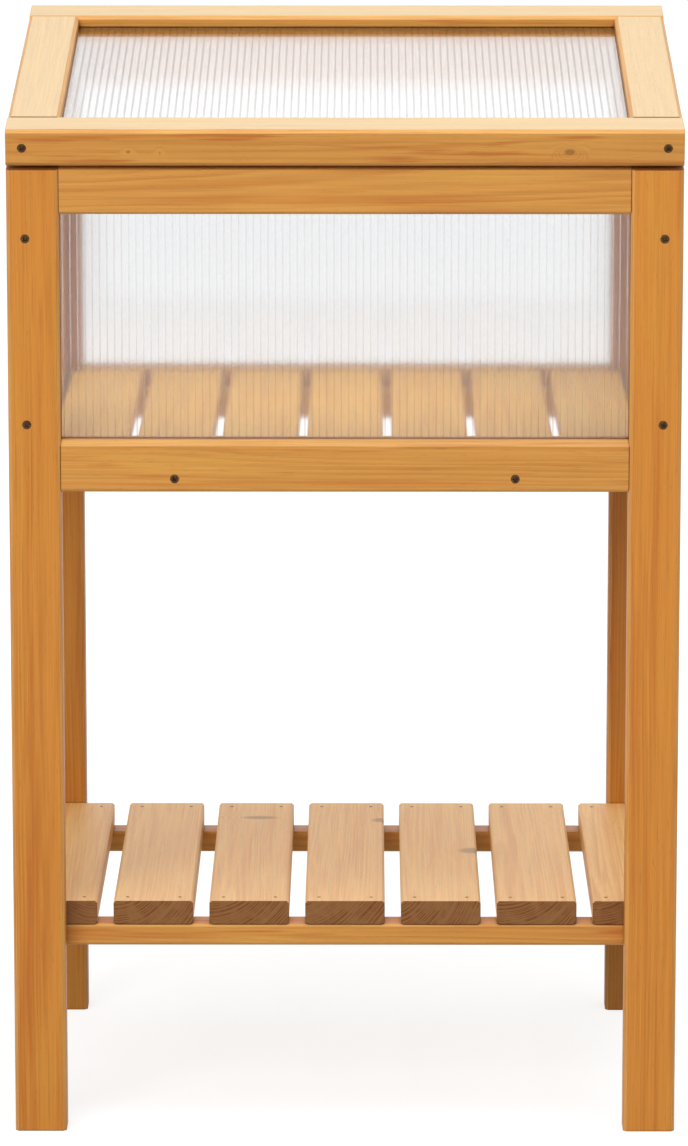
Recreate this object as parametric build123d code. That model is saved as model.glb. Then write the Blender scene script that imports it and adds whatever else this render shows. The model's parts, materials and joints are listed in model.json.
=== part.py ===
from build123d import *
import math
import os

# A wooden cold frame on legs: a glazed box with a sloping hinged lid over an open slatted shelf.
# All sizes are in millimetres. The origin is on the floor under the middle of the object,
# +X points to the right, the front faces -Y and +Z points up.

# Overall sizes
WIDTH = 580.0               # across the outer faces of the legs, and across the lid
DEPTH = 440.0               # front face of the front legs to back face of the rear legs
FRONT_HEIGHT = 851.0        # rim of the box at the front face of the legs
REAR_HEIGHT = 915.0         # rim of the box at the back face of the legs
BOX_BASE = 571.5            # underside of the bottom rails

# Legs
LEG_WIDTH = 45.0
LEG_DEPTH = 30.0
LEG_EASE = 3.0              # sharp corners planed off the long edges

# Rails and stiles of the four walls
RAIL_RECESS = 2.0           # walls stand this far behind the outer faces of the legs
TOP_RAIL_HEIGHT = 38.0
BOTTOM_RAIL_HEIGHT = 45.0
RAIL_EASE = 2.0
WEATHER_CHAMFER = 5.0       # bevel along the outer top edge of a bottom rail
SIDE_THICKNESS = 28.0       # thickness of the side walls
STILE_WIDTH = 30.0
TENON_LENGTH = 14.0
TENON_THICKNESS = 9.0
TENON_SHOULDER = 10.0       # rail height left above and below a tenon
WOOD_FIT = 0.15             # clearance on each face of a tenon, screw or brad in its hole

# Twin-wall glazing sheets
SHEET_THICKNESS = 4.0
SHEET_SKIN = 0.5            # thickness of the two outer walls
SHEET_RIB = 0.5             # thickness of the webs between the flutes
FLUTE_PITCH = 6.3
SHEET_TONGUE = 7.0          # how far a sheet reaches into its grooves
SHEET_FIT = 0.2             # clearance of a sheet in its groove

# Slatted floor of the box
FLOOR_RISE = 42.0           # from the underside of the bottom rails to the top of the slats
FLOOR_SLAT_WIDTH = 66.0
FLOOR_SLAT_GAP = 7.0        # least gap between slats
FLOOR_SLAT_THICKNESS = 15.0
FLOOR_SIDE_GAP = 6.0        # from the outer slats to the side walls
FLOOR_END_GAP = 2.0         # from the slat ends to the front and rear walls
FLOOR_BATTEN_DEPTH = 20.0
FLOOR_BATTEN_HEIGHT = 27.0

# Slatted shelf between the legs
SHELF_TOP = 201.0
SHELF_SLAT_WIDTH = 70.0
SHELF_SLAT_GAP = 14.0       # least gap between slats
SHELF_SLAT_THICKNESS = 21.0
SHELF_SIDE_GAP = 2.0        # from the outer slats to the outer faces of the legs
SHELF_END_GAP = 0.5         # from the slat ends to the legs
SHELF_BATTEN_DEPTH = 30.0
SHELF_BATTEN_HEIGHT = 19.0
SLAT_EASE = 2.0

# Lid
LID_THICKNESS = 32.0
LID_RAIL_WIDTH = 45.0
LID_EASE = 3.0
LID_SHEET_DROP = 10.0       # from the top of the lid frame down to its sheet

# Wood screws
SCREW_SIDES = 6
SCREW_RADIUS = 2.0
SCREW_HEAD_RADIUS = 4.0
SCREW_HEAD_DEPTH = 2.5
LEG_SCREW_LENGTH = 50.0
LEG_SCREW_DROP = 59.0       # upper screws below the front rim
LEG_SCREW_RISE = 59.0       # lower screws above the underside of the bottom rails
FLOOR_SCREW_LENGTH = 40.0
FLOOR_SCREW_INSET = 98.0    # from the ends of a bottom rail to its screws
FLOOR_SCREW_DROP = 15.5     # floor screws below the tops of the floor battens
SHELF_SCREW_LENGTH = 50.0
LID_SCREW_LENGTH = 75.0
LID_SCREW_INSET = 14.0      # from the outer edge of the lid

# Brads through the slats
BRAD_SIZE = 2.0
BRAD_LENGTH = 27.0
BRAD_SPREAD = 46.0          # between the two brads in a slat end

# Butt hinges
HINGE_INSET = 110.0         # from the ends of the lid to the middles of the hinges
HINGE_LENGTH = 40.0
HINGE_SIDES = 12            # flats round the small knuckles, pins and their holes
KNUCKLE_RADIUS = 3.0
KNUCKLE_COUNT = 3
HINGE_GAP = 0.3             # between knuckles, and around them
PIN_RADIUS = 1.5
PIN_FIT = 0.05
LEAF_THICKNESS = 1.5
LEAF_REACH = 14.0           # from the pin to the free edge of a leaf
LEAF_GAP = 0.5              # between the two leaves of a closed hinge
HINGE_SCREW_RADIUS = 1.4
HINGE_SCREW_HEAD_RADIUS = 2.6
HINGE_SCREW_LENGTH = 16.0
HINGE_SCREW_SPREAD = 24.0   # between the two screws in a leaf
HINGE_SCREW_REACH = 8.5     # from the pin to the screws

SIDES = {"left": -1, "right": 1}
ENDS = {"front": -1, "rear": 1}
TOP_DOWN = (Align.CENTER, Align.CENTER, Align.MAX)

# Faces that follow from the sizes
half_width = WIDTH / 2
half_depth = DEPTH / 2
rail_half = half_width - LEG_WIDTH              # half length of the front and rear rails
wall_inner = half_depth - LEG_DEPTH             # inner faces of the front and rear walls
wall_outer = half_depth - RAIL_RECESS
wall_middle = (wall_inner + wall_outer) / 2
side_outer = half_width - RAIL_RECESS
side_inner = side_outer - SIDE_THICKNESS
side_middle = (side_inner + side_outer) / 2
stile_inner = wall_inner - STILE_WIDTH          # half length of the side rails
bottom_rail_top = BOX_BASE + BOTTOM_RAIL_HEIGHT
floor_top = BOX_BASE + FLOOR_RISE
floor_batten_top = floor_top - FLOOR_SLAT_THICKNESS
shelf_batten_top = SHELF_TOP - SHELF_SLAT_THICKNESS
tall = REAR_HEIGHT + LID_THICKNESS              # above every rim, before tops are cut

# The sloping planes of the rim and of the lid, which lies on the folded leaves of its hinges
slope = math.atan2(REAR_HEIGHT - FRONT_HEIGHT, DEPTH)
rim_middle = (FRONT_HEIGHT + REAR_HEIGHT) / 2
lid_gap = 2 * LEAF_THICKNESS + LEAF_GAP
lid_length = DEPTH / math.cos(slope)
out_of_slope = (0, -math.sin(slope), math.cos(slope))
rim_plane = Plane(origin=(0, 0, rim_middle), x_dir=(1, 0, 0), z_dir=out_of_slope)
lid_plane = rim_plane.offset(lid_gap + LID_THICKNESS / 2)


def rim_height(y):
    """Height of the sloping rim of the box at a depth."""
    return rim_middle + y * math.tan(slope)


# The hinge pins lie behind the rear top rail, level with the middle of the gap under the lid
hinge_x = half_width - HINGE_INSET
knuckle_pitch = HINGE_LENGTH / KNUCKLE_COUNT
knuckle_offset = KNUCKLE_RADIUS + HINGE_GAP
pin_y = wall_outer + knuckle_offset
pin_z = rim_height(pin_y) + lid_gap / 2 / math.cos(slope)
hinge_screw_along = rim_plane.to_local_coords(Vector(0, pin_y, pin_z)).Y - HINGE_SCREW_REACH


def block(x, y, z):
    """A box from three pairs of limits, each in either order."""
    sizes = [abs(pair[1] - pair[0]) for pair in (x, y, z)]
    middles = [(pair[0] + pair[1]) / 2 for pair in (x, y, z)]
    return Pos(*middles) * Box(*sizes)


def around(middle, size):
    """The limits of a size set evenly about a middle."""
    return middle - size / 2, middle + size / 2


def board(x, y, z, grain, ease):
    """A length of timber with the sharp corners planed off its long edges."""
    solid = block(x, y, z)
    return chamfer(solid.edges().filter_by(grain), ease)


def weathered_board(x, y, z, grain, outward):
    """A rail with a wide bevel on its outer top edge and its other long edges eased."""
    solid = block(x, y, z)
    towards_bevel = Axis((0, 0, 0), outward)
    solid = chamfer(solid.edges().filter_by(grain).sort_by(towards_bevel)[-1], WEATHER_CHAMFER)
    return chamfer(solid.edges().filter_by(grain).sort_by(towards_bevel)[:-2], RAIL_EASE)


def under_plane(solid, plane):
    return split(solid, bisect_by=plane, keep=Keep.BOTTOM)


def cut(solid, cutters):
    """A solid less those cutters that reach it."""
    for cutter in cutters:
        if solid.bounding_box().overlaps(cutter.bounding_box()):
            solid = solid - cutter
    return solid


def group(solids):
    return Compound(children=list(solids))


# Fasteners: each has a local frame with the face it enters at zero and +Z pointing out.
# Screws have flat-sided shanks and heads, and brads are square, because there are many of them.

def flared_head(shank, head, depth):
    """A head that widens from a shank: what its pairs of opposite sloping flats enclose."""
    to_flat = math.cos(math.pi / SCREW_SIDES)
    neck, rim = shank * to_flat, head * to_flat
    outline = Polyline((-neck, -depth), (neck, -depth), (rim, 0), (-rim, 0), close=True)
    pair = extrude(Plane.XZ * make_face(outline), 2 * head, both=True)
    turns = [Rot(Z=(index + 0.5) * 360 / SCREW_SIDES) for index in range(SCREW_SIDES // 2)]
    solid = turns[0] * pair
    for turn in turns[1:]:
        solid = solid & turn * pair
    return solid


def countersunk(shank, head, head_depth, length):
    """A screw with a flared head, or with a fit added to its sizes, the hole for one."""
    neck = Pos(0, 0, -head_depth) * RegularPolygon(shank, SCREW_SIDES)
    return flared_head(shank, head, head_depth) + extrude(neck, head_depth - length)


def wood_screw(length, fit=0.0):
    return countersunk(SCREW_RADIUS + fit, SCREW_HEAD_RADIUS + fit, SCREW_HEAD_DEPTH, length + fit)


def hinge_screw(fit=0.0):
    shank, head = HINGE_SCREW_RADIUS + fit, HINGE_SCREW_HEAD_RADIUS + fit
    return countersunk(shank, head, LEAF_THICKNESS, HINGE_SCREW_LENGTH + fit)


def brad(fit=0.0):
    size = BRAD_SIZE + 2 * fit
    return Box(size, size, BRAD_LENGTH + fit, align=TOP_DOWN)


def facing(end):
    """Turns +Z to point out of the front or the rear."""
    return Rot(X=-90 * end)


def corners(x, y, heights, outward):
    """Places at four corners, at each height, facing out of or into the object."""
    return [
        Pos(side * x, end * y, z) * facing(outward * end)
        for end in ENDS.values()
        for side in SIDES.values()
        for z in heights
    ]


leg_screw_heights = (FRONT_HEIGHT - LEG_SCREW_DROP, BOX_BASE + LEG_SCREW_RISE)
leg_screw_places = corners(side_middle, half_depth, leg_screw_heights, 1)
floor_screw_places = corners(
    rail_half - FLOOR_SCREW_INSET,
    wall_outer,
    (floor_batten_top - FLOOR_SCREW_DROP,),
    1,
)
shelf_screw_places = corners(
    half_width - LEG_WIDTH / 2,
    wall_inner - SHELF_BATTEN_DEPTH,
    (shelf_batten_top - SHELF_BATTEN_HEIGHT / 2,),
    -1,
)
lid_screw_places = corners(half_width - LID_SCREW_INSET, lid_length / 2, (0,), 1)

leg_screw_holes = [place * wood_screw(LEG_SCREW_LENGTH, WOOD_FIT) for place in leg_screw_places]
floor_screw_holes = [place * wood_screw(FLOOR_SCREW_LENGTH, WOOD_FIT) for place in floor_screw_places]
shelf_screw_holes = [place * wood_screw(SHELF_SCREW_LENGTH, WOOD_FIT) for place in shelf_screw_places]
lid_screw_holes = [place * wood_screw(LID_SCREW_LENGTH, WOOD_FIT) for place in lid_screw_places]

hinge_screw_x = [
    side * hinge_x + half * HINGE_SCREW_SPREAD / 2
    for side in SIDES.values()
    for half in (-1, 1)
]
frame_leaf_screw_places = [
    rim_plane.location * Pos(x, hinge_screw_along, LEAF_THICKNESS)
    for x in hinge_screw_x
]
lid_leaf_screw_places = [
    Pos(x, hinge_screw_along, -LID_THICKNESS / 2 - LEAF_THICKNESS) * Rot(X=180)
    for x in hinge_screw_x
]
frame_leaf_screw_holes = [place * hinge_screw(WOOD_FIT) for place in frame_leaf_screw_places]
lid_leaf_screw_holes = [place * hinge_screw(WOOD_FIT) for place in lid_leaf_screw_places]


def twin_wall(width, height):
    """A fluted sheet standing on its edge: width along X, flutes along Z."""
    count = int((width - SHEET_RIB) / FLUTE_PITCH)
    flute = Rectangle(FLUTE_PITCH - SHEET_RIB, SHEET_THICKNESS - 2 * SHEET_SKIN)
    section = Rectangle(width, SHEET_THICKNESS) - GridLocations(FLUTE_PITCH, 0, count, 1) * flute
    return extrude(section, height)


# Front and rear walls: two legs, two rails and a sheet

def top_rail_base(end):
    return rim_height(end * half_depth) - TOP_RAIL_HEIGHT


def end_tenons(end, fit=0.0):
    """Bars through the front or rear rails, whose ends are the tenons."""
    levels = (
        (BOX_BASE, bottom_rail_top),
        (top_rail_base(end), top_rail_base(end) + TOP_RAIL_HEIGHT),
    )
    return [
        block(
            around(0, 2 * (rail_half + TENON_LENGTH + fit)),
            around(end * wall_middle, TENON_THICKNESS + 2 * fit),
            (low + TENON_SHOULDER - fit, high - TENON_SHOULDER + fit),
        )
        for low, high in levels
    ]


def end_sheet_limits(end):
    """Width, foot and top of the front or rear sheet."""
    width = 2 * (rail_half + SHEET_TONGUE)
    return width, bottom_rail_top - SHEET_TONGUE, top_rail_base(end) + SHEET_TONGUE


def end_groove(end):
    width, low, high = end_sheet_limits(end)
    return block(
        around(0, width + 2 * SHEET_FIT),
        around(end * wall_middle, SHEET_THICKNESS + 2 * SHEET_FIT),
        (low - SHEET_FIT, high + SHEET_FIT),
    )


def end_sheet(end):
    width, low, high = end_sheet_limits(end)
    return Pos(0, end * wall_middle, low) * twin_wall(width, high - low)


def leg(side, end):
    post = board(
        (side * rail_half, side * half_width),
        (end * wall_inner, end * half_depth),
        (0, tall),
        Axis.Z,
        LEG_EASE,
    )
    post = under_plane(post, rim_plane)
    joinery = end_tenons(end, WOOD_FIT) + [end_groove(end)]
    return cut(post, joinery + leg_screw_holes + shelf_screw_holes)


def end_top_rail(end):
    rail = board(
        around(0, 2 * rail_half),
        (end * wall_inner, end * wall_outer),
        (top_rail_base(end), tall),
        Axis.X,
        RAIL_EASE,
    )
    rail = under_plane(rail, rim_plane) + end_tenons(end)[1]
    return cut(rail, [end_groove(end)] + frame_leaf_screw_holes)


def end_bottom_rail(end):
    rail = weathered_board(
        around(0, 2 * rail_half),
        (end * wall_inner, end * wall_outer),
        (BOX_BASE, bottom_rail_top),
        Axis.X,
        (0, end, 1),
    )
    return cut(rail + end_tenons(end)[0], [end_groove(end)] + floor_screw_holes)


# Side walls: two stiles, two rails and a sheet whose top follows the slope

sheet_top_plane = rim_plane.offset(SHEET_TONGUE - TOP_RAIL_HEIGHT)
groove_top_plane = rim_plane.offset(SHEET_TONGUE - TOP_RAIL_HEIGHT + SHEET_FIT)


def side_tenons(side, fit=0.0):
    """Bars through the side rails, level and sloping, whose ends are the tenons."""
    reach = 2 * (stile_inner + TENON_LENGTH + fit)
    thickness = around(side * side_middle, TENON_THICKNESS + 2 * fit)
    level = block(
        thickness,
        around(0, reach),
        (BOX_BASE + TENON_SHOULDER - fit, bottom_rail_top - TENON_SHOULDER + fit),
    )
    sloping = rim_plane.location * block(
        thickness,
        around(0, DEPTH),
        (TENON_SHOULDER - TOP_RAIL_HEIGHT - fit, fit - TENON_SHOULDER),
    )
    return level, sloping & block(thickness, around(0, reach), (0, tall))


def side_groove(side):
    low = bottom_rail_top - SHEET_TONGUE - SHEET_FIT
    slot = block(
        around(side * side_middle, SHEET_THICKNESS + 2 * SHEET_FIT),
        around(0, 2 * (stile_inner + SHEET_TONGUE + SHEET_FIT)),
        (low, tall),
    )
    return under_plane(slot, groove_top_plane)


def side_sheet(side):
    low = bottom_rail_top - SHEET_TONGUE
    sheet = Rot(Z=90) * twin_wall(2 * (stile_inner + SHEET_TONGUE), tall - low)
    return under_plane(Pos(side * side_middle, 0, low) * sheet, sheet_top_plane)


def stile(side, end):
    post = board(
        (side * side_inner, side * side_outer),
        (end * stile_inner, end * wall_inner),
        (BOX_BASE, tall),
        Axis.Z,
        RAIL_EASE,
    )
    joinery = list(side_tenons(side, WOOD_FIT)) + [side_groove(side)]
    return cut(under_plane(post, rim_plane), joinery + leg_screw_holes)


def side_top_rail(side):
    across = (side * side_inner, side * side_outer)
    rail = rim_plane.location * board(across, around(0, DEPTH), (-TOP_RAIL_HEIGHT, 0), Axis.Y, RAIL_EASE)
    rail = rail & block(across, around(0, 2 * stile_inner), (0, tall))
    return cut(rail + side_tenons(side)[1], [side_groove(side)])


def side_bottom_rail(side):
    rail = weathered_board(
        (side * side_inner, side * side_outer),
        around(0, 2 * stile_inner),
        (BOX_BASE, bottom_rail_top),
        Axis.Y,
        (side, 0, 1),
    )
    return cut(rail + side_tenons(side)[0], [side_groove(side)])


# Slats: as many as the span takes, with the room left over shared out between them

def slat_middles(span, width, least_gap):
    count = int((span + least_gap) / (width + least_gap))
    pitch = (span - width) / max(count - 1, 1)
    return [(index - (count - 1) / 2) * pitch for index in range(count)]


def slat_brad_places(middles, y, z):
    return [
        Pos(x + half * BRAD_SPREAD / 2, end * y, z)
        for x in middles
        for end in ENDS.values()
        for half in (-1, 1)
    ]


def slat(middle, width, half_length, top, thickness, brad_holes):
    across = around(middle, width)
    along = around(0, 2 * half_length)
    return cut(board(across, along, (top - thickness, top), Axis.Y, SLAT_EASE), brad_holes)


def batten(end, half_length, depth, top, height, holes):
    solid = board(
        around(0, 2 * half_length),
        (end * wall_inner, end * (wall_inner - depth)),
        (top - height, top),
        Axis.X,
        SLAT_EASE,
    )
    return cut(solid, holes)


# Lid, built flat about its own middle and then laid on the slope

lid_sheet_width = 2 * (half_width - LID_RAIL_WIDTH + SHEET_TONGUE)
lid_sheet_length = lid_length - 2 * (LID_RAIL_WIDTH - SHEET_TONGUE)
lid_sheet_middle = LID_THICKNESS / 2 - LID_SHEET_DROP - SHEET_THICKNESS / 2
lid_groove = block(
    around(0, lid_sheet_width + 2 * SHEET_FIT),
    around(0, lid_sheet_length + 2 * SHEET_FIT),
    around(lid_sheet_middle, SHEET_THICKNESS + 2 * SHEET_FIT),
)


def lid_end_rail(end):
    """A rail across the whole front or rear of the lid."""
    outer = end * lid_length / 2
    rail = board(
        around(0, WIDTH),
        (outer, outer - end * LID_RAIL_WIDTH),
        around(0, LID_THICKNESS),
        Axis.X,
        LID_EASE,
    )
    return cut(rail, [lid_groove] + lid_screw_holes + lid_leaf_screw_holes)


def lid_side_rail(side):
    """A rail between the front and rear rails of the lid."""
    rail = board(
        (side * half_width, side * (half_width - LID_RAIL_WIDTH)),
        around(0, lid_length - 2 * LID_RAIL_WIDTH),
        around(0, LID_THICKNESS),
        Axis.Y,
        LID_EASE,
    )
    return cut(rail, [lid_groove] + lid_screw_holes)


def lid_sheet():
    """The lid's sheet, with its flutes running down the slope."""
    flat = Rot(X=-90) * twin_wall(lid_sheet_width, lid_sheet_length)
    return Pos(0, -lid_sheet_length / 2, lid_sheet_middle) * flat


# Hinges: each leaf is drawn in a plane square to its pin, in which X points from the pin
# to the face that the leaf is screwed to and Y along the plate

def hinge_bar(radius, length, hole=False):
    """A many-sided bar inside a radius, or a hole that clears the radius."""
    outline = RegularPolygon(radius, HINGE_SIDES, major_radius=not hole)
    return extrude(outline, length / 2, both=True)


def knuckle_middles(first):
    """Where every second knuckle lies along a hinge, from the first given."""
    return [(index - (KNUCKLE_COUNT - 1) / 2) * knuckle_pitch for index in range(first, KNUCKLE_COUNT, 2)]


def hinge_leaf(first):
    """A plate with every second knuckle on its edge, notched to clear the knuckles of its fellow."""
    plate_x = (lid_gap / 2 - LEAF_THICKNESS, lid_gap / 2)
    leaf = block(plate_x, (0, LEAF_REACH), around(0, HINGE_LENGTH))
    for z in knuckle_middles(1 - first):
        leaf = leaf - block(plate_x, (0, knuckle_offset), around(z, knuckle_pitch + HINGE_GAP))
    for z in knuckle_middles(first):
        leaf = leaf + Pos(0, 0, z) * hinge_bar(KNUCKLE_RADIUS, knuckle_pitch - HINGE_GAP)
    return leaf - hinge_bar(PIN_RADIUS + PIN_FIT, HINGE_LENGTH, hole=True)


def on_hinge(side, to_face, along_plate):
    """The place of a hinge, turned to the face that a leaf is screwed to."""
    pin_middle = Vector(side * hinge_x, pin_y, pin_z)
    return Plane(pin_middle, x_dir=to_face, z_dir=to_face.cross(along_plate)).location


def frame_leaf(side):
    place = on_hinge(side, -rim_plane.z_dir, -rim_plane.y_dir)
    return cut(place * hinge_leaf(0), frame_leaf_screw_holes)


def lid_leaf(side):
    place = on_hinge(side, lid_plane.z_dir, -lid_plane.y_dir)
    return cut(place * hinge_leaf(1), [lid_plane.location * hole for hole in lid_leaf_screw_holes])


def hinge_pin(side):
    return Pos(side * hinge_x, pin_y, pin_z) * Rot(Y=90) * hinge_bar(PIN_RADIUS, HINGE_LENGTH)


# The whole object, one named node for each piece or group of like fasteners

nodes = {}

for end_name, end in ENDS.items():
    for side_name, side in SIDES.items():
        nodes[f"{end_name}_{side_name}_leg"] = leg(side, end)
    nodes[f"{end_name}_top_rail"] = end_top_rail(end)
    nodes[f"{end_name}_bottom_rail"] = end_bottom_rail(end)
    nodes[f"{end_name}_panel"] = end_sheet(end)

for side_name, side in SIDES.items():
    for end_name, end in ENDS.items():
        nodes[f"{side_name}_{end_name}_stile"] = stile(side, end)
    nodes[f"{side_name}_top_rail"] = side_top_rail(side)
    nodes[f"{side_name}_bottom_rail"] = side_bottom_rail(side)
    nodes[f"{side_name}_panel"] = side_sheet(side)

floor_half = side_inner - FLOOR_SIDE_GAP
floor_middles = slat_middles(2 * floor_half, FLOOR_SLAT_WIDTH, FLOOR_SLAT_GAP)
floor_brad_places = slat_brad_places(floor_middles, wall_inner - FLOOR_BATTEN_DEPTH / 2, floor_top)
floor_brad_holes = [place * brad(WOOD_FIT) for place in floor_brad_places]
for number, middle in enumerate(floor_middles, 1):
    nodes[f"floor_slat_{number}"] = slat(
        middle,
        FLOOR_SLAT_WIDTH,
        wall_inner - FLOOR_END_GAP,
        floor_top,
        FLOOR_SLAT_THICKNESS,
        floor_brad_holes,
    )
for end_name, end in ENDS.items():
    nodes[f"floor_{end_name}_batten"] = batten(
        end,
        floor_half,
        FLOOR_BATTEN_DEPTH,
        floor_batten_top,
        FLOOR_BATTEN_HEIGHT,
        floor_brad_holes + floor_screw_holes,
    )

shelf_half = half_width - SHELF_SIDE_GAP
shelf_middles = slat_middles(2 * shelf_half, SHELF_SLAT_WIDTH, SHELF_SLAT_GAP)
shelf_brad_places = slat_brad_places(shelf_middles, wall_inner - SHELF_BATTEN_DEPTH / 2, SHELF_TOP)
shelf_brad_holes = [place * brad(WOOD_FIT) for place in shelf_brad_places]
for number, middle in enumerate(shelf_middles, 1):
    nodes[f"shelf_slat_{number}"] = slat(
        middle,
        SHELF_SLAT_WIDTH,
        wall_inner - SHELF_END_GAP,
        SHELF_TOP,
        SHELF_SLAT_THICKNESS,
        shelf_brad_holes,
    )
for end_name, end in ENDS.items():
    nodes[f"shelf_{end_name}_batten"] = batten(
        end,
        shelf_half,
        SHELF_BATTEN_DEPTH,
        shelf_batten_top,
        SHELF_BATTEN_HEIGHT,
        shelf_brad_holes + shelf_screw_holes,
    )

on_lid = lid_plane.location
for end_name, end in ENDS.items():
    nodes[f"lid_{end_name}_rail"] = on_lid * lid_end_rail(end)
for side_name, side in SIDES.items():
    nodes[f"lid_{side_name}_rail"] = on_lid * lid_side_rail(side)
nodes["lid_panel"] = on_lid * lid_sheet()

for side_name, side in SIDES.items():
    nodes[f"{side_name}_hinge_frame_leaf"] = frame_leaf(side)
    nodes[f"{side_name}_hinge_lid_leaf"] = lid_leaf(side)
    nodes[f"{side_name}_hinge_pin"] = hinge_pin(side)

nodes["leg_screws"] = group(place * wood_screw(LEG_SCREW_LENGTH) for place in leg_screw_places)
nodes["floor_screws"] = group(place * wood_screw(FLOOR_SCREW_LENGTH) for place in floor_screw_places)
nodes["shelf_screws"] = group(place * wood_screw(SHELF_SCREW_LENGTH) for place in shelf_screw_places)
nodes["lid_screws"] = group(on_lid * place * wood_screw(LID_SCREW_LENGTH) for place in lid_screw_places)
nodes["floor_brads"] = group(place * brad() for place in floor_brad_places)
nodes["shelf_brads"] = group(place * brad() for place in shelf_brad_places)
nodes["hinge_frame_screws"] = group(place * hinge_screw() for place in frame_leaf_screw_places)
nodes["hinge_lid_screws"] = group(on_lid * place * hinge_screw() for place in lid_leaf_screw_places)

os.makedirs("parts", exist_ok=True)
for name, shape in nodes.items():
    export_step(shape, f"parts/{name}.step")
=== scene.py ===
import json
import math
import random

import bmesh
import bpy
from mathutils import Matrix, Vector


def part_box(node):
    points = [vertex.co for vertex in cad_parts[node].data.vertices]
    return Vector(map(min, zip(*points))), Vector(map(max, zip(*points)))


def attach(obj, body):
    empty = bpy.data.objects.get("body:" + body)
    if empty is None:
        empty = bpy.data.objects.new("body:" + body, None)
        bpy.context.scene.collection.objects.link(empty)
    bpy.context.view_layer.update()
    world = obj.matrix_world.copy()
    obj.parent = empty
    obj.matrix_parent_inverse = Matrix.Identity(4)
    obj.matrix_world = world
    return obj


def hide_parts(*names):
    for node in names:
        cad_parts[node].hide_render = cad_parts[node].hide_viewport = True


# A wooden cold frame on legs, in metres: stained softwood, clear fluted sheets and plated steel.

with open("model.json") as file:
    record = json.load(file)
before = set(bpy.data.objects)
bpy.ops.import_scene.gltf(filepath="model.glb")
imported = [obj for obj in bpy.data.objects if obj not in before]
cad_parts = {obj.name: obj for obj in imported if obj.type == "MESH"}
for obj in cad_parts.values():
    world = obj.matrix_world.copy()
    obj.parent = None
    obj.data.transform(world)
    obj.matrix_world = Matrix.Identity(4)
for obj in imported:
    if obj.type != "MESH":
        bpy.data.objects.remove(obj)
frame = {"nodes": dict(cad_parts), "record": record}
nodes = frame["nodes"]
slots = {row["node"]: row["material_slot"] for row in frame["record"]["subparts"]}
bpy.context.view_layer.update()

X_AXIS = Vector((1, 0, 0))
Y_AXIS = Vector((0, 1, 0))
Z_AXIS = Vector((0, 0, 1))

# Camera, as fitted to the photograph
CAMERA_PLACE = (0.0185, -5.3759, 1.4992)
CAMERA_PITCH = math.radians(10.959)
CAMERA_YAW = math.radians(0.214)
CAMERA_LENS = 190.67
CAMERA_SENSOR = 36.0
CAMERA_FAR = 160.0          # past the corners of the floor

# Light: a softbox that isn't mirrored shows in no reflection and through no sheet
SKY_LIGHT = 0.55
SOFTBOXES = {
    "softbox_front": {"place": (-1.6, -4.2, 2.6), "size": 2.6, "watts": 111.0, "mirrored": False},
    "softbox_top": {"place": (0.5, -0.6, 3.6), "size": 2.4, "watts": 45.0, "mirrored": True},
    "softbox_back": {"place": (0.0, 3.4, 2.0), "size": 3.0, "watts": 13.0, "mirrored": True},
}
LIGHT_AIM = Vector((0.0, 0.0, 0.55))
LIGHT_BOUNCES = 32          # enough to pass the many thin walls of two sheets in line
WHITE = (1, 1, 1, 1)

# Floor: the glow that the camera sees grows with the distance from the object
FLOOR_REACH = 40.0
FLOOR_COLOUR = (0.38, 0.38, 0.38, 1)
FLOOR_GLOW_NEAR = 0.75
FLOOR_GLOW_FAR = 0.85
FLOOR_NEAR = 0.5
FLOOR_FAR = 1.8

# Growth rings about a pith that lies outside the board
RING_PITCH = 0.0026
RING_SPELL = 0.009          # span of years with wide or narrow rings
RING_SPREAD = 0.008         # how far such years move the rings
RING_SLANT = 0.012          # most rise of the rings for each metre of a board
RING_START = 0.1            # where in a year the late wood begins, and where it is darkest
RING_PEAK = 0.8
PITH_ASIDE = (0.02, 0.06)   # least and most distance of the pith from the middle of the board
PITH_DEPTH = (0.03, 0.08)
SWAY_SCALE = (2.2, 14.0, 14.0)      # how often the pith wanders in a metre, and how far
SWAY_REACH = (0.0, 0.012, 0.012)
FADE_LEAST = 0.2            # what is left of the rings where they fade

# Marks in the wood: size along and across a board, then detail and roughness of the noise
FADE = (0.2, 0.012, 2.0, 0.5)       # places where the rings fade
FIBRE = (0.09, 0.0009, 3.0, 0.65)   # fine streaks
BAND = (0.45, 0.009, 2.0, 0.5)      # broad bands of stain
PATCH = (0.225, 0.036, 3.0, 0.5)    # wide patches of stain
FLAME = (0.13, 0.006, 2.0, 0.5)     # reddish streaks of heartwood
PORE = (0.012, 0.0006, 1.0, 0.5)    # short dark pores
GRAIN_SHIFTS = (0, 9)               # how far into the noise a board may lie

# Levels of noise between which those marks come up
FADE_LEVELS = (0.35, 0.62)
STAIN_LEVELS = (0.5, 0.75)
FLAME_LEVELS = (0.56, 0.7)
PORE_LEVELS = (0.66, 0.76)
SHADE_LEVELS = (0.25, 0.75)
RUBBED_LEVELS = (0.3, 0.6)
SHEEN_LEVELS = (0.2, 0.8)

# How strongly the marks colour the wood, with least and most where chance decides
RING_SHARES = (0.34, 0.52)
FLAME_SHARES = (0.2, 0.65)
BAND_SHARE = 0.75
PATCH_SHARE = 0.6
SAWN_SHARE = 0.85
SAWN_RING_SHARE = 0.15      # more, on the rings of a sawn end
PORE_SHARE = 0.3
RUBBED_SHARE = 0.45
KNOT_SHARE = 0.5
# How dark the painted shade in inner corners gets
CORNER_SHADE_SHARE = 0.85
FIBRE_SHADES = (0.86, 1.12)     # the darkest and the palest fibres

# How squarely a face looks along an axis of its board, as an end, as the top that gets a painted sheen,
# or as a rubbed edge
END_FACING = (0.75, 0.9)
TOP_FACING = (0.75, 0.95)
EDGE_FACING = (0.95, 0.8)

# Knots, in units of their size
KNOT_ALONG = 0.7            # scale along the grain and through the board
KNOT_THROUGH = 0.04
KNOT_REACH = 3.2            # how far a knot bends the rings, and by how much
KNOT_PUSH = 2.2
KNOT_CORE = 0.45            # where it is darkest

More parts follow.
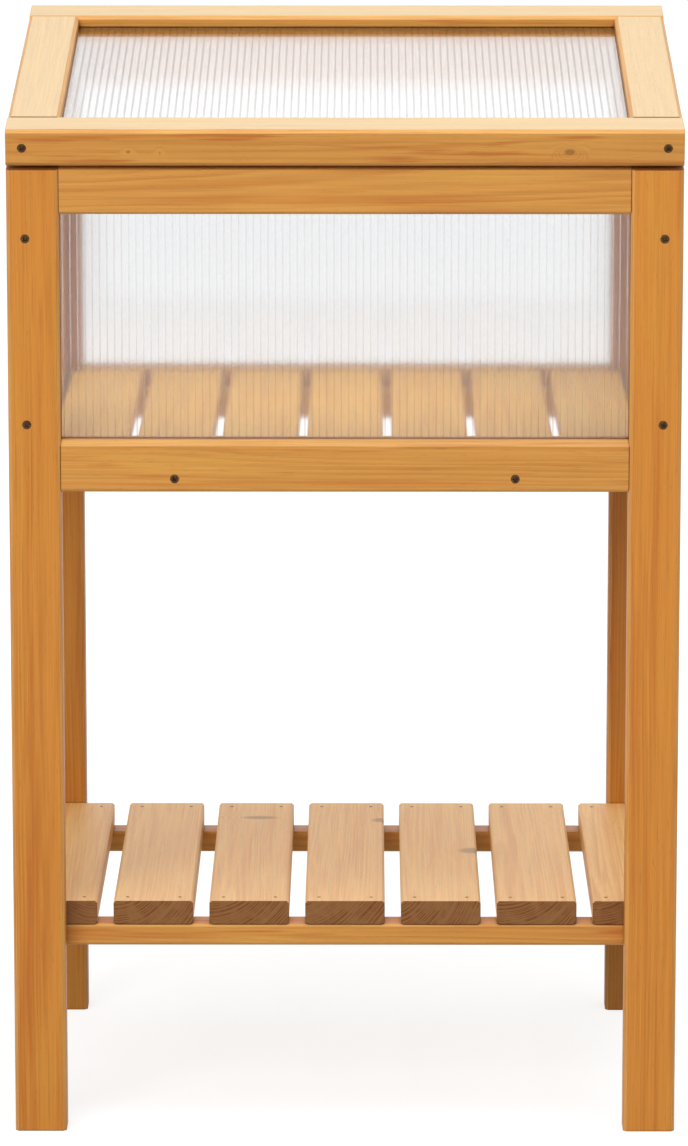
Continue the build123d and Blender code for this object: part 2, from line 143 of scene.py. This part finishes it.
# Surface of the wood
WOOD_ROUGHNESS = (0.4, 0.54)
RELIEF = 0.0003
RELIEF_STRENGTH = 0.2
FIBRE_RELIEF = 0.6
RING_RELIEF = 0.4
ARRIS_RADIUS = 0.0016       # rounding of the planed edges
ARRIS_SAMPLES = 4
CORNER_REACH = 0.004        # how far the painted shade reaches from an inner corner
CORNER_LEVELS = (0.7, 0.25)
CORNER_SAMPLES = 6

# Twin-wall sheets
FLUTE_PITCH = 0.0063
FLUTE_SKIN = 0.0005
FLUTE_RIB = 0.0004
FLUTE_CORNER = 0.00025
FLUTE_STEPS = 4             # in each round corner
FLAT_CREASE = math.radians(5)   # keeps the flat walls from being shaded like lenses
SHEET_TINT = (0.95, 0.952, 0.955, 1)
SHEET_SHADOW_TINT = (0.95, 0.955, 0.96, 1)
SHEET_ROUGHNESS = 0.07
SHEET_IOR = 1.5

# Plated steel
BRUSH_SCALE = (300.0, 4000.0, 4000.0)
BRUSH_RELIEF = 0.0001
BRUSH_STRENGTH = 0.1
TARNISH_SCALE = 220.0
TARNISH_DETAIL = 4.0
TARNISH_ROUGHNESS = 0.6     # of the noise
TARNISH_SHADE = 0.45
TARNISH_LEVELS = (0.35, 0.75)
ROUGH_LEVELS = (0.3, 0.8)   # of tarnish, from the smoothest to the roughest steel
ROUGH_LESS = 0.08
ROUGH_MORE = 0.15

# Turned fasteners
SEGMENTS = 32
TURNED_CREASE = math.radians(40)
HEAD_RISE = 0.0001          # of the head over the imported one
FACE_DEPTH = 0.0001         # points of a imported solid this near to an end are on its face
WELD_DISTANCE = 1e-6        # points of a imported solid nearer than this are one

# Outlines of the fasteners, in units of the radius of the head
HEAD_RINGS = (0.1, 0.22, 0.34, 0.46, 0.58, 0.72, 0.88)
SCREW_RIM = [(0.97, 0.02), (1.02, 0.1)]
CROSS_ARM = 0.6
CROSS_ARM_FLOOR = 0.75      # of the arm: where the recess is at its full depth
CROSS_HALF_WIDTH = 0.2
CROSS_WIDTH_FLOOR = 0.6
CROSS_DEPTH = 0.35
CONE_DEPTH = 0.64
SHANK_RADIUS = 0.5
SCREW_POINT = 1.5
BRAD_HEAD = [(0.3, -0.06), (0.8, -0.04), (1.15, 0.06), (1.15, 0.25)]
WIRE_RADIUS = 0.6
WIRE_START = 0.3
BRAD_POINT = 1.0
TIP_RADIUS = 0.1


def srgb(red, green, blue):
    """A colour given in 0 to 255 as the renderer counts light."""
    def linear(value):
        value = value / 255
        return value / 12.92 if value <= 0.04045 else ((value + 0.055) / 1.055) ** 2.4
    return linear(red), linear(green), linear(blue), 1.0


# Each kind of board: pale early wood, darker late wood, a red and a yellow flush of stain, end grain
# and the gloss of the stain
WOODS = {
    "rail": {
        "early": srgb(216, 152, 72),
        "late": srgb(180, 108, 38),
        "red": srgb(196, 118, 48),
        "yellow": srgb(224, 164, 76),
        "end": srgb(160, 96, 36),
        "gloss": 0.36,
    },
    "leg": {
        "early": srgb(212, 138, 54),
        "late": srgb(178, 102, 32),
        "red": srgb(192, 110, 38),
        "yellow": srgb(214, 148, 58),
        "end": srgb(152, 90, 34),
        "gloss": 0.36,
    },
    # Paler than the frame's wood: in part a painted sheen of the top light on the slat tops
    "shelf": {
        "early": srgb(244, 196, 128),
        "late": srgb(214, 154, 92),
        "red": srgb(232, 172, 108),
        "yellow": srgb(244, 200, 130),
        "end": srgb(114, 60, 10),
        "gloss": 0.36,
    },
    "floor": {
        "early": srgb(246, 186, 78),
        "late": srgb(216, 148, 50),
        "red": srgb(228, 158, 62),
        "yellow": srgb(244, 194, 88),
        "end": srgb(132, 74, 18),
        "gloss": 0.02,
    },
}
KNOT_WOOD = srgb(96, 50, 22)
PORE_WOOD = srgb(120, 68, 28)
RUBBED_WOOD = srgb(236, 188, 118)
# Pale colour laid on the lid's top faces: a painted sheen of the top light
TOP_SHEEN_COLOUR = srgb(224, 202, 158)
# Colour of the painted shade in inner corners
CORNER_SHADE_COLOUR = srgb(92, 46, 12)

STEELS = {
    "hinge_steel": {"colour": srgb(196, 188, 170), "roughness": 0.35},
    "screw_steel": {"colour": srgb(100, 74, 50), "roughness": 0.4},
    "brad_steel": {"colour": srgb(84, 62, 44), "roughness": 0.5},
}

# What sets single boards apart: a darker or paler tone, which on the rear legs is painted shade,
# stronger red streaks, and knots by their place along and across the board, their size, and how far
# they are drawn out across it
LID_TOP_SHEEN = 0.75           # share of the painted sheen of the top light laid over the lid's top
# The rear legs are darker by painted shade; the front right leg is paler by its own tone
TONES_AND_PAINTED_SHADE = {"front_right_leg": 1.06, "rear_left_leg": 0.79, "rear_right_leg": 0.78}
FIGURES = {"lid_front_rail": 1.0, "shelf_front_batten": 0.9}
KNOTS = {
    "lid_front_rail": [
        (0.192, -0.003, 0.0045, 0.8),
        (-0.185, -0.003, 0.002, 1.0),
        (-0.158, -0.004, 0.0014, 2.0),
    ],
    "shelf_slat_5": [(0.0, 0.031, 0.01, 1.6)],
    "shelf_slat_4": [(0.12, 0.033, 0.008, 1.5)],
    "shelf_slat_3": [(0.13, 0.004, 0.006, 3.5)],
}


class Graph:
    """The node tree of one new material or world, with short calls for the nodes in use."""

    def __init__(self, owner):
        self.owner = owner
        self.owner.use_nodes = True
        self.tree = owner.node_tree
        self.tree.nodes.clear()
        kind = "World" if isinstance(owner, bpy.types.World) else "Material"
        self.output = self.tree.nodes.new("ShaderNodeOutput" + kind)

    def feed(self, socket, value):
        """Gives a socket a constant, or links it to another node's socket."""
        if isinstance(value, bpy.types.NodeSocket):
            self.tree.links.new(value, socket)
        elif value is not None:
            socket.default_value = value

    def node(self, kind, settings=None, **inputs):
        """A new node; its inputs are named with underscores for spaces."""
        made = self.tree.nodes.new("ShaderNode" + kind)
        for key, value in (settings or {}).items():
            setattr(made, key, value)
        for key, value in inputs.items():
            self.feed(made.inputs[key.replace("_", " ")], value)
        return made

    def math(self, operation, first, second=None, third=None):
        made = self.tree.nodes.new("ShaderNodeMath")
        made.operation = operation
        for socket, value in zip(made.inputs, (first, second, third)):
            self.feed(socket, value)
        return made.outputs[0]

    def vector(self, operation, first, second=None):
        made = self.tree.nodes.new("ShaderNodeVectorMath")
        made.operation = operation
        self.feed(made.inputs[0], first)
        self.feed(made.inputs[1], second)
        return made.outputs["Value" if operation == "LENGTH" else "Vector"]

    def noise(self, place, detail=2.0, roughness=0.5, scale=1.0):
        made = self.node("TexNoise", Vector=place, Scale=scale, Detail=detail, Roughness=roughness)
        return made.outputs["Fac"]

    def streaks(self, place, mark):
        """Noise drawn out along a board, for one kind of mark."""
        along, across, detail, roughness = mark
        stretch = (1 / along, 1 / across, 1 / across)
        return self.noise(self.vector("MULTIPLY", place, stretch), detail, roughness)

    def remap(self, value, low, high, to_low=0.0, to_high=1.0, shape="SMOOTHSTEP"):
        made = self.tree.nodes.new("ShaderNodeMapRange")
        made.interpolation_type = shape
        for socket, setting in zip(made.inputs, (value, low, high, to_low, to_high)):
            self.feed(socket, setting)
        return made.outputs[0]

    def blend(self, share, first, second, mode="MIX"):
        made = self.tree.nodes.new("ShaderNodeMix")
        made.data_type = "RGBA"
        made.blend_type = mode
        self.feed(made.inputs["Factor"], share)
        self.feed(made.inputs[6], first)
        self.feed(made.inputs[7], second)
        return made.outputs[2]

    def join(self, kind, *inputs):
        """A node that joins shaders, with its inputs in order."""
        made = self.node(kind)
        for socket, value in zip(made.inputs, inputs):
            self.feed(socket, value)
        return made.outputs[0]

    def bump(self, height, strength, distance, normal=None):
        made = self.node("Bump", Height=height, Strength=strength, Distance=distance)
        self.feed(made.inputs["Normal"], normal)
        return made.outputs[0]

    def surface(self, shader):
        self.tree.links.new(shader, self.output.inputs["Surface"])
        return self.owner


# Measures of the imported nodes

def points_of(name):
    """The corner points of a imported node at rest."""
    place = nodes[name].matrix_world
    return [place @ vertex.co for vertex in nodes[name].data.vertices]


def reach(points, axis):
    """The least and greatest distance of points along an axis."""
    distances = [point.dot(axis) for point in points]
    return min(distances), max(distances)


def middle_of(name):
    low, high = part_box(name)
    return (low + high) / 2


# The directions of the sloping lid, from its front rail to its rear rail and out of its top
lid_run = middle_of("lid_rear_rail") - middle_of("lid_front_rail")
LID_ALONG = Vector((0, lid_run.y, lid_run.z)).normalized()
LID_OUT = X_AXIS.cross(LID_ALONG)


def finish_node(name, material):
    """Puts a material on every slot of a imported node."""
    for slot in nodes[name].material_slots:
        slot.material = material


def new_piece(name, mesh, material, body, replaced, crease):
    """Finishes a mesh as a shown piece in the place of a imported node, smooth up to a crease angle."""
    made = bpy.data.meshes.new(name)
    mesh.to_mesh(made)
    mesh.free()
    made.polygons.foreach_set("use_smooth", [True] * len(made.polygons))
    made.set_sharp_from_angle(angle=crease)
    made.materials.append(material)
    piece = bpy.data.objects.new(name, made)
    bpy.context.scene.collection.objects.link(piece)
    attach(piece, body)
    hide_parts(replaced)


# Boards

def board_directions(name):
    """The grain of a board and a direction across it, which points out of the top on the lid."""
    if name in ("lid_left_rail", "lid_right_rail", "left_top_rail", "right_top_rail"):
        return LID_ALONG, LID_OUT
    if name in ("lid_front_rail", "lid_rear_rail"):
        return X_AXIS, LID_OUT
    if "leg" in name or "stile" in name:
        return Z_AXIS, X_AXIS
    if "slat" in name:
        return Y_AXIS, X_AXIS
    if name in ("left_bottom_rail", "right_bottom_rail"):
        return Y_AXIS, Z_AXIS
    return X_AXIS, Z_AXIS


def wood_of(name):
    """The kind of wood a board is cut from."""
    if name.startswith("floor_"):
        return WOODS["floor"]
    if name.startswith("shelf_slat"):
        return WOODS["shelf"]
    if "leg" in name or "stile" in name:
        return WOODS["leg"]
    return WOODS["rail"]


def board_space(graph, name):
    """Places and facings on a board, with the grain on X, across it on Y and its middle at 0."""
    grain, across = board_directions(name)
    grain = grain.normalized()
    across = (across - grain * across.dot(grain)).normalized()
    turn = Matrix((grain, across, grain.cross(across)))
    angles = turn.to_euler()
    shift = -(turn @ middle_of(name))
    texture = graph.node("TexCoord").outputs
    laid = graph.node("Mapping", Vector=texture["Object"], Rotation=angles, Location=shift)
    facing = graph.node("Mapping", {"vector_type": "NORMAL"}, Vector=texture["Normal"], Rotation=angles)
    return laid.outputs[0], facing.outputs[0]


def knot_marks(graph, laid, knots):
    """How far the rings are pushed aside by knots, and where the knots themselves lie."""
    push, mark = 0.0, 0.0
    for along, across, size, spread in knots:
        offset = graph.vector("SUBTRACT", laid, (along, across, 0))
        offset = graph.vector("MULTIPLY", offset, (KNOT_ALONG, 1 / spread, KNOT_THROUGH))
        distance = graph.vector("LENGTH", offset)
        near = graph.remap(distance, KNOT_REACH * size, 0.0)
        push = graph.math("MULTIPLY_ADD", near, KNOT_PUSH * size, push)
        mark = graph.math("MAXIMUM", graph.remap(distance, size, KNOT_CORE * size), mark)
    return push, mark


def growth_rings(graph, laid, shifted, chance, push):
    """Late wood as lines about a pith that wanders along the board, wide and narrow by turns."""
    wandering = graph.vector("MULTIPLY", shifted, SWAY_SCALE)
    sway = graph.node("TexNoise", Vector=wandering, Scale=1.0, Detail=2.0)
    sway = graph.vector("SUBTRACT", sway.outputs["Color"], (0.5, 0.5, 0.5))
    sway = graph.vector("MULTIPLY", sway, SWAY_REACH)
    pith = (0.0, chance.choice((-1, 1)) * chance.uniform(*PITH_ASIDE), -chance.uniform(*PITH_DEPTH))
    from_pith = graph.vector("SUBTRACT", graph.vector("ADD", laid, sway), pith)
    parts = graph.node("SeparateXYZ", Vector=from_pith).outputs
    flat = graph.node("CombineXYZ", Y=parts["Y"], Z=parts["Z"]).outputs[0]
    slant = chance.uniform(-RING_SLANT, RING_SLANT)
    radius = graph.math("MULTIPLY_ADD", parts["X"], slant, graph.vector("LENGTH", flat))
    radius = graph.math("ADD", radius, push)

    years = graph.node(
        "TexNoise",
        {"noise_dimensions": "1D"},
        W=radius,
        Scale=1 / RING_SPELL,
        Detail=1.0,
    )
    radius = graph.math("MULTIPLY_ADD", years.outputs["Fac"], RING_SPREAD, radius)
    year = graph.math("FRACT", graph.math("MULTIPLY", radius, 1 / RING_PITCH))
    rise = graph.remap(year, RING_START, RING_PEAK)
    line = graph.math("MULTIPLY", rise, graph.remap(year, 1.0, RING_PEAK))
    fade = graph.remap(graph.streaks(shifted, FADE), *FADE_LEVELS, FADE_LEAST, 1.0)
    return graph.math("MULTIPLY", line, fade)


def stained_colour(graph, shifted, ring, wood, chance, figure):
    """Rings, bands, patches and red streaks, which a figured board has by a share of its own."""
    ring_share = graph.math("MULTIPLY", ring, chance.uniform(*RING_SHARES))
    colour = graph.blend(ring_share, wood["early"], wood["late"])
    band = graph.remap(graph.streaks(shifted, BAND), *STAIN_LEVELS, 0.0, BAND_SHARE)
    colour = graph.blend(band, colour, wood["red"])
    patch = graph.remap(graph.streaks(shifted, PATCH), *STAIN_LEVELS, 0.0, PATCH_SHARE)
    colour = graph.blend(patch, colour, wood["yellow"])
    drawn_share = chance.uniform(*FLAME_SHARES)
    flame = graph.remap(graph.streaks(shifted, FLAME), *FLAME_LEVELS, 0.0, figure or drawn_share)
    return graph.blend(flame, colour, wood["red"])


def faced_colour(graph, colour, facing, ring, wood, top_sheen):
    """Lays end grain over the sawn ends and a painted sheen of the top light over the top."""
    axes = graph.node("SeparateXYZ", Vector=facing).outputs
    end = graph.remap(graph.math("ABSOLUTE", axes["X"]), *END_FACING)
    sawn = graph.math("MULTIPLY", end, graph.math("MULTIPLY_ADD", ring, SAWN_RING_SHARE, SAWN_SHARE))
    colour = graph.blend(sawn, colour, wood["end"])
    return graph.blend(graph.remap(axes["Y"], *TOP_FACING, 0.0, top_sheen), colour, TOP_SHEEN_COLOUR)


def worn_and_shaded_colour(graph, colour, facing, shifted, fibre, knot, tone_and_shade):
    """Lays fibres, pores, rubbed edges and knots over the wood, and painted shade in its inner corners
    and, by the tone, on the rear legs.
    """
    # The board's tone, with the rear legs' painted shade, scales the fibres
    darkest, palest = (tone_and_shade * shade for shade in FIBRE_SHADES)
    shade = graph.remap(fibre, *SHADE_LEVELS, darkest, palest, "LINEAR")
    grey = graph.node("CombineXYZ", X=shade, Y=shade, Z=shade).outputs[0]
    colour = graph.blend(1.0, colour, grey, "MULTIPLY")
    pore = graph.remap(graph.streaks(shifted, PORE), *PORE_LEVELS, 0.0, PORE_SHARE)
    colour = graph.blend(pore, colour, PORE_WOOD)

    sides = graph.node("SeparateXYZ", Vector=graph.vector("ABSOLUTE", facing)).outputs
    squarest = graph.math("MAXIMUM", graph.math("MAXIMUM", sides["X"], sides["Y"]), sides["Z"])
    edge = graph.remap(squarest, *EDGE_FACING, 0.0, RUBBED_SHARE)
    rubbed = graph.math("MULTIPLY", edge, graph.remap(fibre, *RUBBED_LEVELS))
    colour = graph.blend(rubbed, colour, RUBBED_WOOD)

    colour = graph.blend(graph.math("MULTIPLY", knot, KNOT_SHARE), colour, KNOT_WOOD)
    # Painted shade: darker where ambient occlusion finds an inner corner
    open_air = graph.node("AmbientOcclusion", {"samples": CORNER_SAMPLES}, Distance=CORNER_REACH)
    corner = graph.remap(open_air.outputs["AO"], *CORNER_LEVELS, 0.0, CORNER_SHADE_SHARE)
    return graph.blend(corner, colour, CORNER_SHADE_COLOUR)


def pine(name):
    """Stained softwood for one board, with its own rings, fibres, bands, pores and knots."""
    chance = random.Random(name)
    graph = Graph(bpy.data.materials.new(name + "_wood"))
    wood = wood_of(name)
    laid, facing = board_space(graph, name)
    shifted = graph.vector("ADD", laid, [chance.uniform(*GRAIN_SHIFTS) for _ in range(3)])
    push, knot = knot_marks(graph, laid, KNOTS.get(name, ()))
    ring = growth_rings(graph, laid, shifted, chance, push)
    fibre = graph.streaks(shifted, FIBRE)

    colour = stained_colour(graph, shifted, ring, wood, chance, FIGURES.get(name))
    # The lid's top faces get a painted sheen of the top light
    top_sheen = LID_TOP_SHEEN if name.startswith("lid_") else 0.0
    colour = faced_colour(graph, colour, facing, ring, wood, top_sheen)
    colour = worn_and_shaded_colour(graph, colour, facing, shifted, fibre, knot, TONES_AND_PAINTED_SHADE.get(name, 1.0))

    height = graph.math("MULTIPLY_ADD", fibre, FIBRE_RELIEF, graph.math("MULTIPLY", ring, RING_RELIEF))
    rounded = graph.node("Bevel", {"samples": ARRIS_SAMPLES}, Radius=ARRIS_RADIUS).outputs[0]
    surface = graph.node(
        "BsdfPrincipled",
        Base_Color=colour,
        Roughness=graph.remap(fibre, *SHEEN_LEVELS, *WOOD_ROUGHNESS, "LINEAR"),
        Specular_IOR_Level=wood["gloss"],
        Normal=graph.bump(height, RELIEF_STRENGTH, RELIEF, rounded),
    )
    return graph.surface(surface.outputs[0])


for name in nodes:
    if slots[name] in ("stained_wood", "slat_wood"):
        finish_node(name, pine(name))


# Twin-wall sheets

def twin_wall():
    """Clear fluted plastic that lamps shine through."""
    graph = Graph(bpy.data.materials.new("twin_wall_sheet"))
    clear = graph.node(
        "BsdfPrincipled",
        Base_Color=SHEET_TINT,
        Roughness=SHEET_ROUGHNESS,
        IOR=SHEET_IOR,
        Transmission_Weight=1.0,
    )
    open_to_light = graph.node("BsdfTransparent", Color=SHEET_SHADOW_TINT)
    shadow_ray = graph.node("LightPath").outputs["Is Shadow Ray"]
    mixed = graph.join("MixShader", shadow_ray, clear.outputs[0], open_to_light.outputs[0])
    return graph.surface(mixed)


def rounded_rectangle(x, width, height, radius):
    """An outline with round corners, about a middle on X."""
    outline = []
    for quarter in range(4):
        side_x = 1 if quarter in (0, 3) else -1
        side_y = 1 if quarter in (0, 1) else -1
        for step in range(FLUTE_STEPS + 1):
            angle = (quarter + step / FLUTE_STEPS) * math.pi / 2
            outline.append((
                x + side_x * (width / 2 - radius) + radius * math.cos(angle),
                side_y * (height / 2 - radius) + radius * math.sin(angle),
            ))
    return outline


def sheet_outlines(width, thickness):
    """The outline of a sheet's cross-section, and those of the flutes in it."""
    x, y = width / 2, thickness / 2
    outlines = [[(-x, -y), (x, -y), (x, y), (-x, y)]]
    flute_width = FLUTE_PITCH - FLUTE_RIB
    flute_height = thickness - 2 * FLUTE_SKIN
    count = int((width - FLUTE_RIB) / FLUTE_PITCH)
    for index in range(count):
        middle = (index - (count - 1) / 2) * FLUTE_PITCH
        outlines.append(rounded_rectangle(middle, flute_width, flute_height, FLUTE_CORNER))
    return outlines


def fluted_sheet(node, across, through, along, body):
    """A clear sheet with round-cornered flutes that fills the place of a packed one."""
    points = points_of(node)
    limits = [reach(points, axis) for axis in (across, through, along)]
    width, thickness, length = (high - low for low, high in limits)

    mesh = bmesh.new()
    edges = []
    for outline in sheet_outlines(width, thickness):
        ring = [mesh.verts.new((x, y, 0)) for x, y in outline]
        edges += [mesh.edges.new((ring[index - 1], ring[index])) for index in range(len(ring))]
    bmesh.ops.triangle_fill(mesh, edges=edges, use_beauty=True)
    grown = bmesh.ops.extrude_face_region(mesh, geom=mesh.faces[:])["geom"]
    top = [part for part in grown if isinstance(part, bmesh.types.BMVert)]
    bmesh.ops.translate(mesh, verts=top, vec=(0, 0, length))
    bmesh.ops.recalc_face_normals(mesh, faces=mesh.faces[:])

    place = Matrix((across, through, along)).transposed().to_4x4()
    middles = [(low + high) / 2 for low, high in limits]
    place.translation = middles[0] * across + middles[1] * through + limits[2][0] * along
    bmesh.ops.transform(mesh, matrix=place, verts=mesh.verts[:])
    if across == Y_AXIS:
        # The side sheets are cut on the slope of the rim
        rise = LID_ALONG.z / LID_ALONG.y
        for vertex in top:
            vertex.co.z -= (limits[0][1] - vertex.co.y) * rise
    new_piece(node + "_fluted", mesh, sheet_material, body, node, FLAT_CREASE)


sheet_material = twin_wall()
for end in ("front", "rear"):
    fluted_sheet(f"{end}_panel", X_AXIS, Y_AXIS, Z_AXIS, "frame")
for side in ("left", "right"):
    fluted_sheet(f"{side}_panel", Y_AXIS, -X_AXIS, Z_AXIS, "frame")
fluted_sheet("lid_panel", X_AXIS, -LID_OUT, LID_ALONG, "lid")


# Hinges and fasteners

def plated_steel(name):
    """Dull plated steel, brushed and tarnished."""
    colour, roughness = STEELS[name]["colour"], STEELS[name]["roughness"]
    graph = Graph(bpy.data.materials.new(name))
    place = graph.node("TexCoord").outputs["Object"]
    brushed = graph.noise(graph.vector("MULTIPLY", place, BRUSH_SCALE))
    tarnish = graph.noise(place, TARNISH_DETAIL, TARNISH_ROUGHNESS, TARNISH_SCALE)
    dark = tuple(TARNISH_SHADE * part for part in colour[:3]) + (1.0,)
    uneven = (roughness - ROUGH_LESS, roughness + ROUGH_MORE)
    metal = graph.node(
        "BsdfPrincipled",
        Base_Color=graph.blend(graph.remap(tarnish, *TARNISH_LEVELS), colour, dark),
        Metallic=1.0,
        Roughness=graph.remap(tarnish, *ROUGH_LEVELS, *uneven, "LINEAR"),
        Normal=graph.bump(brushed, BRUSH_STRENGTH, BRUSH_RELIEF),
    )
    return graph.surface(metal.outputs[0])


def loose_solids(node):
    """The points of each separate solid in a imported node, from left to right and front to rear."""
    mesh = bmesh.new()
    mesh.from_mesh(nodes[node].data)
    bmesh.ops.remove_doubles(mesh, verts=mesh.verts[:], dist=WELD_DISTANCE)
    waiting = set(mesh.verts)
    solids = []
    while waiting:
        reached = [waiting.pop()]
        solid = []
        while reached:
            vertex = reached.pop()
            solid.append(nodes[node].matrix_world @ vertex.co)
            beyond = [link.other_vert(vertex) for link in vertex.link_edges]
            reached += [other for other in beyond if other in waiting]
            waiting.difference_update(beyond)
        solids.append(sorted(solid, key=tuple))
    mesh.free()
    return sorted(solids, key=lambda solid: tuple(solid[0]))


def head_of(points, axis):
    """The middle, facing and radius of a fastener's head, which is its wider end."""
    ends = []
    for outward in (axis, -axis):
        far = max(point.dot(outward) for point in points)
        face = [point for point in points if far - point.dot(outward) < FACE_DEPTH]
        middle = sum(face, Vector()) / len(face)
        ends.append((middle, outward, max((point - middle).length for point in face)))
    return max(ends, key=lambda end: round(end[2], 5))


def smooth(low, high, value):
    """A soft step from 0 at the low value to 1 at the high one."""
    share = min(max((value - low) / (high - low), 0.0), 1.0)
    return share * share * (3 - 2 * share)


def cross_recess(x, y):
    """Depth of a cross recess in a head of radius 1."""
    inner, outer = sorted((abs(x), abs(y)))
    in_width = smooth(CROSS_HALF_WIDTH, CROSS_WIDTH_FLOOR * CROSS_HALF_WIDTH, inner)
    in_length = smooth(CROSS_ARM, CROSS_ARM_FLOOR * CROSS_ARM, outer)
    return CROSS_DEPTH * in_width * in_length


def no_recess(x, y):
    return 0.0


def screw_outline(length):
    """A flat head with a softened rim, its cone, the shank and a short point."""
    head = [(ring, 0.0) for ring in HEAD_RINGS] + SCREW_RIM
    shank = [(SHANK_RADIUS, CONE_DEPTH), (SHANK_RADIUS, length - SCREW_POINT)]
    return head + shank + [(TIP_RADIUS, length)]


def brad_outline(length):
    """A round, slightly domed head on a thin wire."""
    wire = [(WIRE_RADIUS, WIRE_START), (WIRE_RADIUS, length - BRAD_POINT)]
    return BRAD_HEAD + wire + [(TIP_RADIUS, length)]


def add_turned(mesh, head, rings, recess, spin):
    """A turned fastener: rings of radius and depth in units of its head's radius."""
    middle, outward, radius = head
    aside = outward.orthogonal().normalized()
    upright = outward.cross(aside)
    rows = []
    for ring, depth in rings:
        row = []
        for index in range(SEGMENTS):
            angle = index * 2 * math.pi / SEGMENTS
            x, y = ring * math.cos(angle), ring * math.sin(angle)
            turned = aside * math.cos(angle + spin) + upright * math.sin(angle + spin)
            drop = (depth + recess(x, y)) * radius - HEAD_RISE
            row.append(mesh.verts.new(middle + turned * ring * radius - outward * drop))
        rows.append(row)
    for inner, outer in zip(rows, rows[1:]):
        for index in range(SEGMENTS):
            mesh.faces.new((inner[index - 1], inner[index], outer[index], outer[index - 1]))
    mesh.faces.new(rows[0])
    mesh.faces.new(rows[-1])


def make_fasteners(node, axis, body, outline, recess, material):
    """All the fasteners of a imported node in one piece, each at an angle of its own."""
    chance = random.Random(node)
    mesh = bmesh.new()
    for points in loose_solids(node):
        head = head_of(points, axis)
        low, high = reach(points, axis)
        rings = outline((high - low) / head[2])
        add_turned(mesh, head, rings, recess, chance.uniform(0, math.pi))
    bmesh.ops.recalc_face_normals(mesh, faces=mesh.faces[:])
    new_piece(node + "_turned", mesh, material, body, node, TURNED_CREASE)


hinge_material = plated_steel("hinge_steel")
screw_material = plated_steel("screw_steel")
brad_material = plated_steel("brad_steel")
for name, slot in slots.items():
    if slot == "hinge_steel":
        finish_node(name, hinge_material)

for node, axis, body in (
    ("leg_screws", Y_AXIS, "frame"),
    ("floor_screws", Y_AXIS, "frame"),
    ("shelf_screws", Y_AXIS, "frame"),
    ("lid_screws", LID_ALONG, "lid"),
    ("hinge_frame_screws", LID_OUT, "frame"),
    ("hinge_lid_screws", LID_OUT, "lid"),
):
    make_fasteners(node, axis, body, screw_outline, cross_recess, screw_material)
for node in ("floor_brads", "shelf_brads"):
    make_fasteners(node, Z_AXIS, "frame", brad_outline, no_recess, brad_material)


# Stage

def seen_ray(graph):
    """1 for rays that show the background: to the camera, through the sheets or as a reflection."""
    path = graph.node("LightPath").outputs
    seen = graph.math("MAXIMUM", path["Is Camera Ray"], path["Is Transmission Ray"])
    return graph.math("MAXIMUM", seen, path["Is Glossy Ray"])


def floor_material():
    """A matt floor with a glow that only shows and doesn't light the object."""
    graph = Graph(bpy.data.materials.new("floor_white"))
    matt = graph.node("BsdfDiffuse", Color=FLOOR_COLOUR)
    distance = graph.vector("LENGTH", graph.node("TexCoord").outputs["Object"])
    strength = graph.remap(distance, FLOOR_NEAR, FLOOR_FAR, FLOOR_GLOW_NEAR, FLOOR_GLOW_FAR)
    strength = graph.math("MULTIPLY", strength, seen_ray(graph))
    glow = graph.node("Emission", Color=WHITE, Strength=strength)
    return graph.surface(graph.join("AddShader", matt.outputs[0], glow.outputs[0]))


def make_floor():
    mesh = bpy.data.meshes.new("floor")
    corners = [(x * FLOOR_REACH, y * FLOOR_REACH, 0) for x, y in ((-1, -1), (1, -1), (1, 1), (-1, 1))]
    mesh.from_pydata(corners, [], [(0, 1, 2, 3)])
    mesh.materials.append(floor_material())
    floor = bpy.data.objects.new("floor", mesh)
    bpy.context.scene.collection.objects.link(floor)


def make_sky():
    """A soft sky that shows as white."""
    graph = Graph(bpy.data.worlds.new("studio"))
    strength = graph.remap(seen_ray(graph), 0.0, 1.0, SKY_LIGHT, 1.0, "LINEAR")
    sky = graph.node("Background", Color=WHITE, Strength=strength)
    bpy.context.scene.world = graph.surface(sky.outputs[0])


def make_lamps():
    for name, lamp in SOFTBOXES.items():
        light = bpy.data.lights.new(name, "AREA")
        light.size = lamp["size"]
        light.energy = lamp["watts"]
        holder = bpy.data.objects.new(name, light)
        holder.location = lamp["place"]
        aim = LIGHT_AIM - Vector(lamp["place"])
        holder.rotation_euler = aim.to_track_quat("-Z", "Y").to_euler()
        holder.visible_camera = False
        holder.visible_glossy = lamp["mirrored"]
        holder.visible_transmission = lamp["mirrored"]
        bpy.context.scene.collection.objects.link(holder)


def make_camera():
    data = bpy.data.cameras.new("camera")
    data.lens = CAMERA_LENS
    data.sensor_width = CAMERA_SENSOR
    data.clip_end = CAMERA_FAR
    camera = bpy.data.objects.new("camera", data)
    camera.location = CAMERA_PLACE
    camera.rotation_euler = (math.pi / 2 - CAMERA_PITCH, 0, CAMERA_YAW)
    bpy.context.scene.collection.objects.link(camera)
    bpy.context.scene.camera = camera


make_floor()
make_sky()
make_lamps()
make_camera()

scene = bpy.context.scene
scene.view_settings.view_transform = "Standard"
scene.cycles.max_bounces = LIGHT_BOUNCES
scene.cycles.transmission_bounces = LIGHT_BOUNCES
scene.cycles.transparent_max_bounces = LIGHT_BOUNCES
